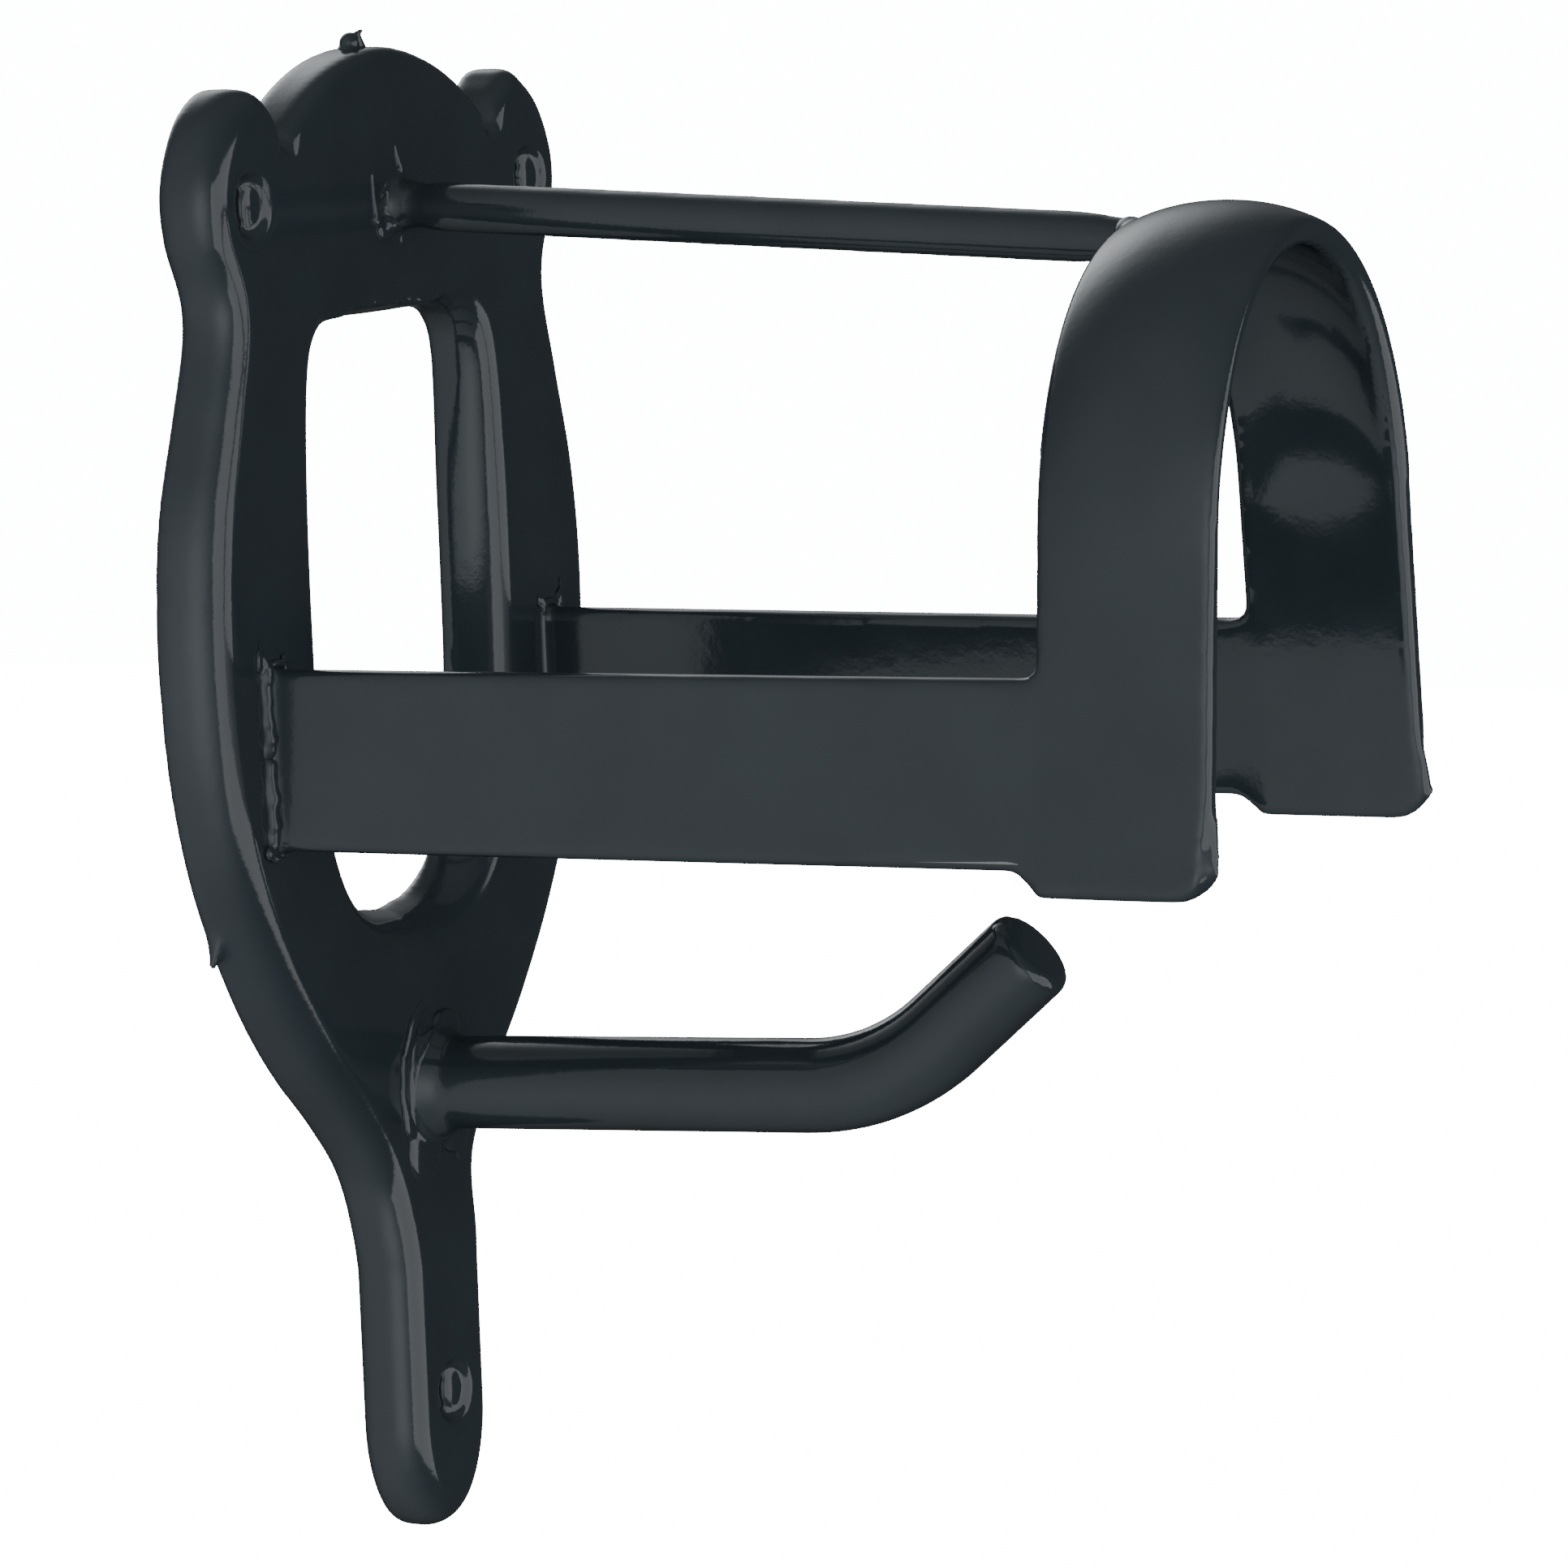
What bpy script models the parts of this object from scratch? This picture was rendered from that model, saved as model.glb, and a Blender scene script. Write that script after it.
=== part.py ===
"""Wall bracket with a saddle hoop and a hook: pressed steel, welded, dipped in soft vinyl.

Frame: the wall is the plane Y = 0 and the bracket reaches out towards -Y. +Z is up and
+X is to the right for someone who faces the wall. The origin lies on the wall plane, on
the centre line, on the top land of the rim that turns back round the plate's slot.
Metres throughout; the driving dimensions are in millimetres times MM.
"""
import math

import bmesh
import bpy
from mathutils import Vector

MM = 0.001

# ---- driving dimensions ------------------------------------------------------------
GAP = 0.3 * MM                # clearance between neighbouring solids
CUT_PAST = 3 * GAP            # how far a cutter runs on past the face it opens
SKIN = 0.7 * MM               # vinyl wall
SHEET = 2.0 * MM              # steel sheet of the plate and the hoop
COATED = SHEET + 2 * (SKIN + GAP)

PLATE_DEPTH = 10.0 * MM       # coated front face to the wall
BEND = 5.5 * MM               # radius of the coated plate edge where it turns back
FLARE = 2.4 * MM              # how far the pressed flange opens outwards by its rim
TAIL_LEAN = 1.1 * MM          # how far the tail stands off the wall
DOME_TOP = 38.2 * MM
DOME_RADIUS = 49.0 * MM
NOTCH = (32.1 * MM, 24.2 * MM)
TAIL_TOP = -138.0 * MM         # where the flange stops flaring and the tail runs straight
FLARE_RUN = 34.0 * MM          # length over which the flare comes and goes
LEAN_TOP = -132.0 * MM         # where the tail starts to bend forward, clear of the hook
LEAN_RUN = 16.0 * MM
TAIL_TIP = -190.0 * MM
TAIL_HALF = 13.0 * MM

SCREW_BORE = 3.9 * MM         # radius of a coated screw hole
SCREW_TOP = (43.5 * MM, 16.3 * MM)
SCREW_BOTTOM_Z = -168.7 * MM

SLOT_HALF = 27.5 * MM
SLOT_TOP = -2.0 * MM
SLOT_BOTTOM = -95.5 * MM

HOOP_BACK = -130.2 * MM       # rear edge of the hoop's strap
HOOP_WIDTH = 25.8 * MM
ARCH_HALF = 40.8 * MM         # half width of the outer arch where the legs start
ARCH_RISE = 44.8 * MM
ARCH_BASE = -31.7 * MM        # height at which the arch turns into the legs
ARCH_CROWN = 3.2 * MM         # how far the strap's edges curl in over the arch
CROWN_CURL = 2.2              # the higher, the more of the curl is kept to the edges
CROWN_FULL = -8.0 * MM        # height above which the crown is full
LEG_BOTTOM = -82.2 * MM
LEG_SPLAY = 4.6 * MM          # how far each leg spreads by its bottom
LEG_CORNER = 5.0 * MM
FOOT_STEP = 6.0 * MM          # length of the step from an arm's bottom down to the leg's

ARM_TOP = -51.4 * MM
ARM_BOTTOM = -78.4 * MM
ARM_HALF = 46.0 * MM          # outer face of an arm where it meets the plate

RIM_LEAN = 1.0 * MM           # how far the curled rim over the arch leans back

BAR_START = Vector((0, -PLATE_DEPTH, 14.3 * MM))
BAR_END = Vector((0, HOOP_BACK + RIM_LEAN, 7.6 * MM))
BAR_RADIUS = 3.7 * MM
BAR_PINCH = 0.8               # share of the radius left at the flattened ends

HOOK_RADIUS = 7.2 * MM
HOOK_ROOT = Vector((0, -PLATE_DEPTH, -120.1 * MM))
HOOK_RISE = math.radians(1.8)
HOOK_RUN = 64.0 * MM
HOOK_BEND = 36.0 * MM
HOOK_TURN = math.radians(40.0)
HOOK_TIP = 18.9 * MM

ARM_BEAD = 1.7 * MM           # radii of the weld beads
BAR_BEAD = 1.3 * MM
TAPER_ROOM = 0.25 * MM        # room between a bead and the bar as it widens from its end
HOOK_BEAD = 1.9 * MM

STEEL_IN = SKIN + GAP         # steel surface below the coated surface
FRONT = -PLATE_DEPTH          # the plate's coated front face
STEEL_FACE = FRONT + STEEL_IN  # the plate's steel front face

VINYL = ("black_vinyl_dip", (0.028, 0.033, 0.037, 1.0), 0.36, 0.0)
STEEL = ("bare_mild_steel", (0.42, 0.42, 0.41, 1.0), 0.45, 1.0)


# ---- small helpers -----------------------------------------------------------------
def clear_scene():
    for old in list(bpy.data.objects):
        bpy.data.objects.remove(old, do_unlink=True)


def new_collection(name):
    made = bpy.data.collections.new(name)
    bpy.context.scene.collection.children.link(made)
    return made


def material(finish):
    name, colour, roughness, metallic = finish
    found = bpy.data.materials.get(name)
    if found:
        return found
    made = bpy.data.materials.new(name)
    made.use_nodes = True
    shader = made.node_tree.nodes["Principled BSDF"]
    shader.inputs["Base Color"].default_value = colour
    shader.inputs["Roughness"].default_value = roughness
    shader.inputs["Metallic"].default_value = metallic
    return made


def add_object(name, mesh, finish, collection=None):
    thing = bpy.data.objects.new(name, mesh)
    (collection or PARTS).objects.link(thing)
    if finish:
        mesh.materials.clear()
        mesh.materials.append(material(finish))
    for face in mesh.polygons:
        face.use_smooth = True
    mesh.set_sharp_from_angle(angle=math.radians(35))
    return thing


def add_cutter(name, mesh):
    cutter = add_object(name, mesh, None, CUTTERS)
    cutter.hide_render = True
    cutter.display_type = "WIRE"
    return cutter


def cut(thing, cutter):
    boolean = thing.modifiers.new("cut_" + cutter.name, "BOOLEAN")
    boolean.operation = "DIFFERENCE"
    boolean.solver = "EXACT"
    boolean.object = cutter


def box_cutter(name, low, high):
    bm = bmesh.new()
    bmesh.ops.create_cube(bm, size=1.0)
    size = high - low
    for vert in bm.verts:
        vert.co = low + Vector([(vert.co[i] + 0.5) * size[i] for i in range(3)])
    mesh = bpy.data.meshes.new(name)
    bm.to_mesh(mesh)
    bm.free()
    return add_cutter(name, mesh)


def through(points, steps):
    """Points on a smooth line through the given ones, which it keeps."""
    ends = [points[0] * 2 - points[1]] + points + [points[-1] * 2 - points[-2]]
    line = []
    for before, start, end, after in zip(ends, ends[1:], ends[2:], ends[3:]):
        for step in range(steps):
            t = step / steps
            line.append(0.5 * (2 * start + (end - before) * t
                               + (2 * before - 5 * start + 4 * end - after) * t ** 2
                               + (3 * start - before - 3 * end + after) * t ** 3))
    return line + [points[-1]]


def both_halves(right):
    """Closes a right-hand outline, given from the top to the bottom of the centre line."""
    left = [Vector((-p.x, p.y)) for p in reversed(right[1:-1])]
    return right + left


def outward(outline):
    """The outward normal at each point of a closed clockwise outline in X and Z."""
    count = len(outline)
    normals = []
    for i in range(count):
        along = outline[(i + 1) % count] - outline[i - 1]
        normals.append(Vector((-along.y, along.x)).normalized())
    return normals


# ---- back plate --------------------------------------------------------------------
def plate_outline():
    notch = Vector(NOTCH)
    dome = []
    steps = 6
    reach = math.asin(notch.x / DOME_RADIUS)
    for step in range(steps):
        angle = reach * step / steps
        drop = DOME_RADIUS * (1 - math.cos(angle))
        dome.append(Vector((DOME_RADIUS * math.sin(angle), DOME_TOP - drop)))
    side_mm = [(32.1, 24.2), (35.5, 30.2), (42.0, 33.6), (49.9, 29.4), (54.8, 20.5), (54.5, 11.5),
               (50.2, 0.6), (53.4, -13.5), (57.2, -27.5), (59.0, -41.0), (59.0, -54.0),
               (57.2, -68.5), (52.3, -84.0), (43.5, -99.5), (33.0, -113.0), (22.5, -124.0),
               (15.0, -134.5), (13.0, -148.0)]
    side = through([Vector(p) * MM for p in side_mm], 2)
    tail = []
    length = TAIL_HALF * 1.45
    for step in range(1, 7):
        angle = math.pi / 2 * step / 6
        tail.append(Vector((TAIL_HALF * math.cos(angle),
                            TAIL_TIP + length - length * math.sin(angle))))
    return both_halves(dome + side + tail)


def slot_outline():
    """The slot that is left open, square at the top and drawn to a point below."""
    shares = [(0.0, 0.0), (0.6, 0.002), (0.84, 0.03), (0.94, 0.1), (0.99, 0.27), (1.0, 0.46),
              (0.98, 0.66), (0.9, 0.81), (0.71, 0.92), (0.4, 0.98), (0.0, 1.0)]
    half = [Vector((SLOT_HALF * across, SLOT_TOP + (SLOT_BOTTOM - SLOT_TOP) * down))
            for across, down in shares]
    return both_halves(through(half, 2))


def screw_places():
    x, z = SCREW_TOP
    return [Vector((x, z)), Vector((-x, z)), Vector((0, SCREW_BOTTOM_Z))]


def smooth_step(share):
    share = min(1.0, max(0.0, share))
    return share * share * (3 - 2 * share)


def flare_at(z):
    """How far the rim opens outwards: full down the belly, none at the ears and the tail."""
    return FLARE * smooth_step(-z / FLARE_RUN) * smooth_step((z - TAIL_TOP) / FLARE_RUN)


def lean_at(z):
    return TAIL_LEAN * smooth_step((LEAN_TOP - z) / LEAN_RUN)


def add_ring(bm, outline, normals, inset, y):
    """One copy of an outline, set in and at a depth; the flare grows towards the wall."""
    share = max(0.0, (y - FRONT) / PLATE_DEPTH) ** 1.5
    ring = []
    for p, n in zip(outline, normals):
        inwards = inset - share * flare_at(p.y)
        ring.append(bm.verts.new((p.x - n.x * inwards, y, p.y - n.y * inwards)))
    return ring


def join_rings(bm, first, second):
    count = len(first)
    for i in range(count):
        j = (i + 1) % count
        bm.faces.new((first[i], first[j], second[j], second[i]))


def turned_edge(bm, outline, normals, near, far, steps):
    """Sweeps the turned-back section round an outline and returns the rings it ends on.

    near and far are the depths of the section's two faces below the coated surface. The
    bend's two faces share one centre, and the rim stops that same depth short of the wall.
    """
    rings = []
    for depth in (near, far):
        face = [add_ring(bm, outline, normals, depth, -near)]
        for step in range(steps + 1):
            angle = math.pi / 2 * step / steps
            radius = BEND - depth
            inset = BEND - radius * math.cos(angle)
            y = FRONT + BEND - radius * math.sin(angle)
            face.append(add_ring(bm, outline, normals, inset, y))
        rings.append(face)
    for first, second in zip(rings[0], rings[0][1:]):
        join_rings(bm, first, second)
    for first, second in zip(rings[1], rings[1][1:]):
        join_rings(bm, second, first)
    join_rings(bm, rings[1][0], rings[0][0])
    return rings[0][-1], rings[1][-1]


def screw_walls(bm, place, bore, near, far):
    sides = 14
    circles = []
    for y in (FRONT + near, FRONT + far):
        circles.append([bm.verts.new((place.x + bore * math.cos(2 * math.pi * i / sides), y,
                                      place.y + bore * math.sin(2 * math.pi * i / sides)))
                        for i in range(sides)])
    join_rings(bm, circles[0], circles[1])
    return circles


def fill_flat(bm, loops):
    """Fills the flat that a border loop and its holes bound, at one depth."""
    edges = []
    for loop in loops:
        edges += [bm.edges.get((loop[i - 1], loop[i])) for i in range(len(loop))]
    bmesh.ops.triangle_fill(bm, use_beauty=True, use_dissolve=False, edges=edges)


def plate_solid(name, near, far):
    """The dished plate between two depths below its coated surface, with its openings."""
    bm = bmesh.new()
    border = plate_outline()
    slot = slot_outline()
    slot_normals = [-n for n in outward(slot)]
    steps = 3
    outer = turned_edge(bm, border, outward(border), near, far, steps)
    inner = turned_edge(bm, slot, slot_normals, near, far, steps)
    screws = [screw_walls(bm, place, SCREW_BORE + near, near, far) for place in screw_places()]
    for side in range(2):
        fill_flat(bm, [outer[side], inner[side]] + [circles[side] for circles in screws])
    for vert in bm.verts:
        vert.co.y -= lean_at(vert.co.z)
    bmesh.ops.recalc_face_normals(bm, faces=bm.faces)
    mesh = bpy.data.meshes.new(name)
    bm.to_mesh(mesh)
    bm.free()
    return mesh


def make_plate():
    add_object("back_plate", plate_solid("back_plate", STEEL_IN, STEEL_IN + SHEET), STEEL)
    coat = add_object("plate_coat", plate_solid("plate_coat", 0, COATED), VINYL)
    cut(coat, add_cutter("plate_room", plate_solid("plate_room", SKIN, COATED - SKIN)))
    for name, side in (("left", -1), ("right", 1)):
        middle = side * (ARM_HALF - COATED / 2)
        reach = SHEET / 2 + GAP
        cut(coat, box_cutter(name + "_arm_gate",
                             Vector((middle - reach, FRONT - SKIN, ARM_BOTTOM + SKIN)),
                             Vector((middle + reach, FRONT + SKIN + GAP / 2, ARM_TOP - SKIN))))
    bar_reach = BAR_RADIUS * BAR_PINCH - SKIN
    cut(coat, gate_cutter("bar_gate", BAR_START, bar_reach))
    cut(coat, gate_cutter("hook_gate", HOOK_ROOT, HOOK_RADIUS - SKIN))


def gate_cutter(name, centre, radius):
    """A short round cutter that opens the plate's skin where a rod passes."""
    bm = bmesh.new()
    bmesh.ops.create_cone(bm, cap_ends=True, segments=20, radius1=radius, radius2=radius,
                          depth=2 * SKIN + GAP)
    for vert in bm.verts:
        vert.co = Vector((vert.co.x + centre.x, centre.y + vert.co.z, centre.z - vert.co.y))
    bmesh.ops.recalc_face_normals(bm, faces=bm.faces)
    mesh = bpy.data.meshes.new(name)
    bm.to_mesh(mesh)
    bm.free()
    return add_cutter(name, mesh)


# ---- hoop and its two arms ---------------------------------------------------------
def leg_half(z):
    share = max(0.0, (ARCH_BASE - z) / (ARCH_BASE - LEG_BOTTOM))
    return ARCH_HALF + LEG_SPLAY * share ** 1.5


def crown_share(z):
    """The strap is nearly flat at its legs and crowned from side to side over the arch."""
    return 0.1 + 0.9 * smooth_step((z - ARM_TOP) / (CROWN_FULL - ARM_TOP))


def hoop_stations(edge):
    """Middle line of the strap from the left leg's foot to the right one's, with normals.

    Each station is the strap's outer point in X and Z, its normal, and its share of crown.
    """
    foot = LEG_BOTTOM + edge
    arm_third = (ARM_TOP - ARM_BOTTOM) / 3
    above_arm = (ARCH_BASE - ARM_TOP) / 3
    heights = [foot, ARM_TOP - 2.2 * arm_third, ARM_TOP - 1.1 * arm_third, ARM_TOP - edge,
               ARM_TOP + above_arm, ARM_TOP + 2 * above_arm]
    right = [(Vector((leg_half(z), z)), Vector((1, 0))) for z in heights]
    steps = 10
    for step in range(steps + 1):
        angle = math.pi / 2 * step / steps
        point = Vector((ARCH_HALF * math.cos(angle), ARCH_BASE + ARCH_RISE * math.sin(angle)))
        normal = Vector((math.cos(angle) / ARCH_HALF, math.sin(angle) / ARCH_RISE)).normalized()
        right.append((point, normal))
    right = [(point, normal, crown_share(point.y)) for point, normal in right]
    left = [(Vector((-p.x, p.y)), Vector((-n.x, n.y)), crown) for p, n, crown in right[:-1]]
    return left + right[::-1]


def strap_reaches(edge):
    """Distances across the strap from its back edge, close together round the foot's corner."""
    width = HOOP_WIDTH - 2 * edge
    corner = LEG_CORNER - edge
    turns = [math.sin(math.radians(angle)) for angle in (0, 35, 65, 90)]
    return [0.0, 3.0 * MM, FOOT_STEP, width / 2] + [width - corner + corner * t for t in turns]


def foot_rise(reach, edge):
    """How far the leg's bottom edge rises at a distance from the strap's back edge."""
    corner = LEG_CORNER - edge
    into_corner = reach - (HOOP_WIDTH - 2 * edge - corner)
    if into_corner > 0:
        return corner - math.sqrt(max(0.0, corner ** 2 - into_corner ** 2))
    return (ARM_BOTTOM - LEG_BOTTOM) * smooth_step(1 - reach / FOOT_STEP)


def hoop_sheet(name, edge, arm_end):
    """The flat-blank shape, bent: the arch, its legs and both arms as one open surface."""
    bm = bmesh.new()
    width = HOOP_WIDTH - 2 * edge
    reaches = strap_reaches(edge)
    stations = hoop_stations(edge)
    rows = []
    for index, (point, normal, crown) in enumerate(stations):
        foot = index in (0, len(stations) - 1)
        row = []
        for reach in reaches:
            off = abs(2 * reach / width - 1) ** CROWN_CURL
            place = point - normal * (COATED / 2 + ARCH_CROWN * crown * off)
            if foot:
                place.y += foot_rise(reach, edge)
                place.x += math.copysign(leg_half(place.y) - leg_half(point.y), point.x)
            row.append(bm.verts.new((place.x, HOOP_BACK - edge - reach, place.y)))
        rows.append(row)
    for first, second in zip(rows, rows[1:]):
        for i in range(len(reaches) - 1):
            bm.faces.new((first[i], second[i], second[i + 1], first[i + 1]))
    arm_rows = slice(0, 4)
    for side, group in ((-1, rows[arm_rows]), (1, rows[::-1][arm_rows])):
        last = [row[0] for row in group]
        root_x = side * (ARM_HALF - COATED / 2)
        stops = 3
        starts = [v.co.copy() for v in last]
        for stop in range(1, stops + 1):
            share = stop / stops
            following = []
            for start in starts:
                x = start.x + (root_x - start.x) * share
                y = start.y + (arm_end - start.y) * share
                following.append(bm.verts.new((x, y, start.z)))
            for i in range(len(last) - 1):
                bm.faces.new((last[i], last[i + 1], following[i + 1], following[i]))
            last = following
    bmesh.ops.recalc_face_normals(bm, faces=bm.faces)
    mesh = bpy.data.meshes.new(name)
    bm.to_mesh(mesh)
    bm.free()
    return mesh


def thicken(thing, thickness):
    solidify = thing.modifiers.new("thickness", "SOLIDIFY")
    solidify.thickness = thickness
    solidify.offset = 0.0
    solidify.use_even_offset = True


def make_hoop():
    steel = add_object("hoop_strap", hoop_sheet("hoop_strap", STEEL_IN, STEEL_FACE - GAP), STEEL)
    thicken(steel, SHEET)
    coat = add_object("hoop_coat", hoop_sheet("hoop_coat", 0, FRONT - GAP), VINYL)
    thicken(coat, COATED)
    room = add_cutter("hoop_room", hoop_sheet("hoop_room", SKIN, FRONT + SKIN))
    thicken(room, SHEET + 2 * GAP)
    cut(coat, room)
    reach = BAR_RADIUS * BAR_PINCH - SKIN
    cut(coat, box_cutter("bar_notch",
                         Vector((-reach, HOOP_BACK - STEEL_IN, BAR_END.z - 2 * reach)),
                         Vector((reach, BAR_END.y + SKIN, BAR_END.z + 2 * reach))))


# ---- rods, as curves that become meshes --------------------------------------------
def rod_mesh(name, points, radius, pinches, sides):
    curve = bpy.data.curves.new(name + "_line", "CURVE")
    curve.dimensions = "3D"
    curve.bevel_depth = radius
    curve.bevel_resolution = sides
    curve.use_fill_caps = True
    spline = curve.splines.new("POLY")
    spline.points.add(len(points) - 1)
    for target, point, pinch in zip(spline.points, points, pinches):
        target.co = (*point, 1.0)
        target.radius = pinch
    line = bpy.data.objects.new(name + "_line", curve)
    CUTTERS.objects.link(line)
    bpy.context.view_layer.update()
    mesh = bpy.data.meshes.new_from_object(line.evaluated_get(
        bpy.context.evaluated_depsgraph_get()))
    bpy.data.objects.remove(line, do_unlink=True)
    mesh.name = name
    bm = bmesh.new()
    bm.from_mesh(mesh)
    bmesh.ops.remove_doubles(bm, verts=bm.verts, dist=0.01 * MM)
    bmesh.ops.recalc_face_normals(bm, faces=bm.faces)
    bm.to_mesh(mesh)
    bm.free()
    return mesh


def bar_mesh(name, start_y, end_y, below):
    """The straight bar over the saddle, pinched at both ends, below its coated surface."""
    length = BAR_END.y - BAR_START.y
    taper = 9.0 * MM
    stops = (start_y, BAR_START.y - taper, BAR_END.y + taper, end_y)
    points = []
    pinches = []
    for y in stops:
        share = (y - BAR_START.y) / length
        points.append(Vector((0, y, BAR_START.z + (BAR_END.z - BAR_START.z) * share)))
    for pinched in (True, False, False, True):
        whole = BAR_RADIUS * (BAR_PINCH if pinched else 1.0)
        pinches.append((whole - below) / BAR_RADIUS)
    return rod_mesh(name, points, BAR_RADIUS, pinches, 3)


def hook_mesh(name, start_y, short, below):
    """The hook's line: a long run, one bend and a straight tip that stops short."""
    run = Vector((0, -math.cos(HOOK_RISE), math.sin(HOOK_RISE)))
    points = [HOOK_ROOT + run * ((HOOK_ROOT.y - start_y) / math.cos(HOOK_RISE)),
              HOOK_ROOT + run * HOOK_RUN / 2]
    bend_start = HOOK_ROOT + run * HOOK_RUN
    centre = bend_start + Vector((0, math.sin(HOOK_RISE), math.cos(HOOK_RISE))) * HOOK_BEND
    steps = 5
    for step in range(steps + 1):
        angle = HOOK_RISE + HOOK_TURN * step / steps
        points.append(centre + HOOK_BEND * Vector((0, -math.sin(angle), -math.cos(angle))))
    final = HOOK_RISE + HOOK_TURN
    points.append(points[-1] + (HOOK_TIP - short) * Vector((0, -math.cos(final), math.sin(final))))
    radius = HOOK_RADIUS - below
    return rod_mesh(name, points, radius, [1.0] * len(points), 4)


def make_top_bar():
    steel_start = STEEL_FACE - GAP
    steel_end = HOOP_BACK - STEEL_IN + RIM_LEAN / 2 + GAP
    add_object("top_bar", bar_mesh("top_bar", steel_start, steel_end, STEEL_IN), STEEL)
    coat_end = BAR_END.y + GAP
    coat = add_object("top_bar_coat", bar_mesh("top_bar_coat", FRONT - GAP, coat_end, 0), VINYL)
    room = bar_mesh("bar_room", FRONT + CUT_PAST, BAR_END.y - CUT_PAST, SKIN)
    cut(coat, add_cutter("bar_room", room))


def make_hook():
    add_object("hook_rod", hook_mesh("hook_rod", STEEL_FACE - GAP, STEEL_IN, STEEL_IN), STEEL)
    coat = add_object("hook_coat", hook_mesh("hook_coat", FRONT - GAP, 0, 0), VINYL)
    cut(coat, add_cutter("hook_room", hook_mesh("hook_room", FRONT + CUT_PAST, SKIN, SKIN)))


# ---- weld beads, each with the skin that covers it ---------------------------------
def make_arm_beads():
    centre_y = FRONT - GAP - ARM_BEAD
    runs = {"upper": (-52.0, -64.0), "lower": (-67.0, -78.0)}
    for name, side in (("left", -1), ("right", 1)):
        x = side * (ARM_HALF + GAP + ARM_BEAD)
        for place, (top, bottom) in runs.items():
            swell = (0.55, 0.95, 0.8, 1.0, 0.85, 0.95, 0.6)
            count = len(swell)
            points = [Vector((x, centre_y, (top + (bottom - top) * i / (count - 1)) * MM))
                      for i in range(count)]
            node = name + "_arm_weld_" + place
            add_object(node, rod_mesh(node, points, ARM_BEAD, swell, 3), VINYL)


def make_ring_bead(name, centre, inner, bead, towards):
    """A bead all round a rod, lying against the face that the rod butts on."""
    bpy.ops.mesh.primitive_torus_add(
        major_radius=inner + GAP + bead, minor_radius=bead, major_segments=24,
        minor_segments=8, location=centre + Vector((0, towards * (GAP + bead), 0)),
        rotation=(math.pi / 2, 0, 0))
    ring = bpy.context.active_object
    ring.name = name
    ring.data.name = name
    for holder in ring.users_collection:
        holder.objects.unlink(ring)
    PARTS.objects.link(ring)
    ring.data.materials.append(material(VINYL))
    for face in ring.data.polygons:
        face.use_smooth = True


def make_rod_beads():
    pinched = BAR_RADIUS * BAR_PINCH
    make_ring_bead("top_bar_plate_weld", BAR_START, pinched + TAPER_ROOM, BAR_BEAD, -1)
    make_ring_bead("top_bar_hoop_weld", BAR_END, pinched + TAPER_ROOM, BAR_BEAD, 1)
    make_ring_bead("hook_weld", HOOK_ROOT, HOOK_RADIUS, HOOK_BEAD, -1)


# ---- the nib that the dipping hook leaves ------------------------------------------
def make_nib():
    """A small pinched lump of vinyl on top of the dome, a gap clear of the plate's skin."""
    bm = bmesh.new()
    bmesh.ops.create_uvsphere(bm, u_segments=12, v_segments=7, radius=1.0)
    for vert in bm.verts:
        taper = 1 - 0.35 * max(vert.co.z, 0)
        flat = max(vert.co.z, -0.35)
        vert.co = Vector((vert.co.x * 2.6 * taper, vert.co.y * 2.0 * taper, flat * 2.6)) * MM
    mesh = bpy.data.meshes.new("hanger_nib")
    bm.to_mesh(mesh)
    bm.free()
    nib = add_object("hanger_nib", mesh, VINYL)
    nib.location = (-2.0 * MM, FRONT + BEND + 0.5 * MM, DOME_TOP + 1.3 * MM)


clear_scene()
PARTS = new_collection("bridle_bracket")
CUTTERS = new_collection("cutters")
make_plate()
make_hoop()
make_top_bar()
make_hook()
make_arm_beads()
make_rod_beads()
make_nib()
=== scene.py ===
import math
import random

import bmesh
import bpy
from mathutils import Matrix, Vector


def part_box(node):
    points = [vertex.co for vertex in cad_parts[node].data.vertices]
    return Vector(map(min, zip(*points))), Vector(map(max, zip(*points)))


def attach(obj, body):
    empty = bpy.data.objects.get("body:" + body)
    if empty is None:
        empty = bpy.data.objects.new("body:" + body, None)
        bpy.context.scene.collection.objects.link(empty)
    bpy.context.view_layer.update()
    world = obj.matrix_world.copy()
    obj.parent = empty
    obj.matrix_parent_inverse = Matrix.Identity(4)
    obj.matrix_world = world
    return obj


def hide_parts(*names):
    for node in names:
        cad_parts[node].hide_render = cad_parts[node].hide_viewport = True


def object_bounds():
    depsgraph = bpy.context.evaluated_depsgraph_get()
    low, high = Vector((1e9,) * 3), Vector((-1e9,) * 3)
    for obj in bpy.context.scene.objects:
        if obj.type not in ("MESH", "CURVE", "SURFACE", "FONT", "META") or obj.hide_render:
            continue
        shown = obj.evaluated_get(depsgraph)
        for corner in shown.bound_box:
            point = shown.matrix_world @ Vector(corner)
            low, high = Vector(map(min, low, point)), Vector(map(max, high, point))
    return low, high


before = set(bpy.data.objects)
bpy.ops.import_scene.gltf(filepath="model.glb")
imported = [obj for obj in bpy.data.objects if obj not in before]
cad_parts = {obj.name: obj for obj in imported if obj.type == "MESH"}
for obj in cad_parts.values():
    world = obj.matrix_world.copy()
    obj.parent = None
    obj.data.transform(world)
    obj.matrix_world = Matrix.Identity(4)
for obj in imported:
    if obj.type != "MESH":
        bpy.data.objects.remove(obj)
CAD_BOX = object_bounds()

# The looks of a wall bracket: pressed and welded steel under one dip of black vinyl.
# The skin is shaped whole, as the dip leaves it, and then parted where the pieces meet.
# The wall is the plane Y = 0, the bracket reaches out towards -Y, and +X is to the right.

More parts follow.
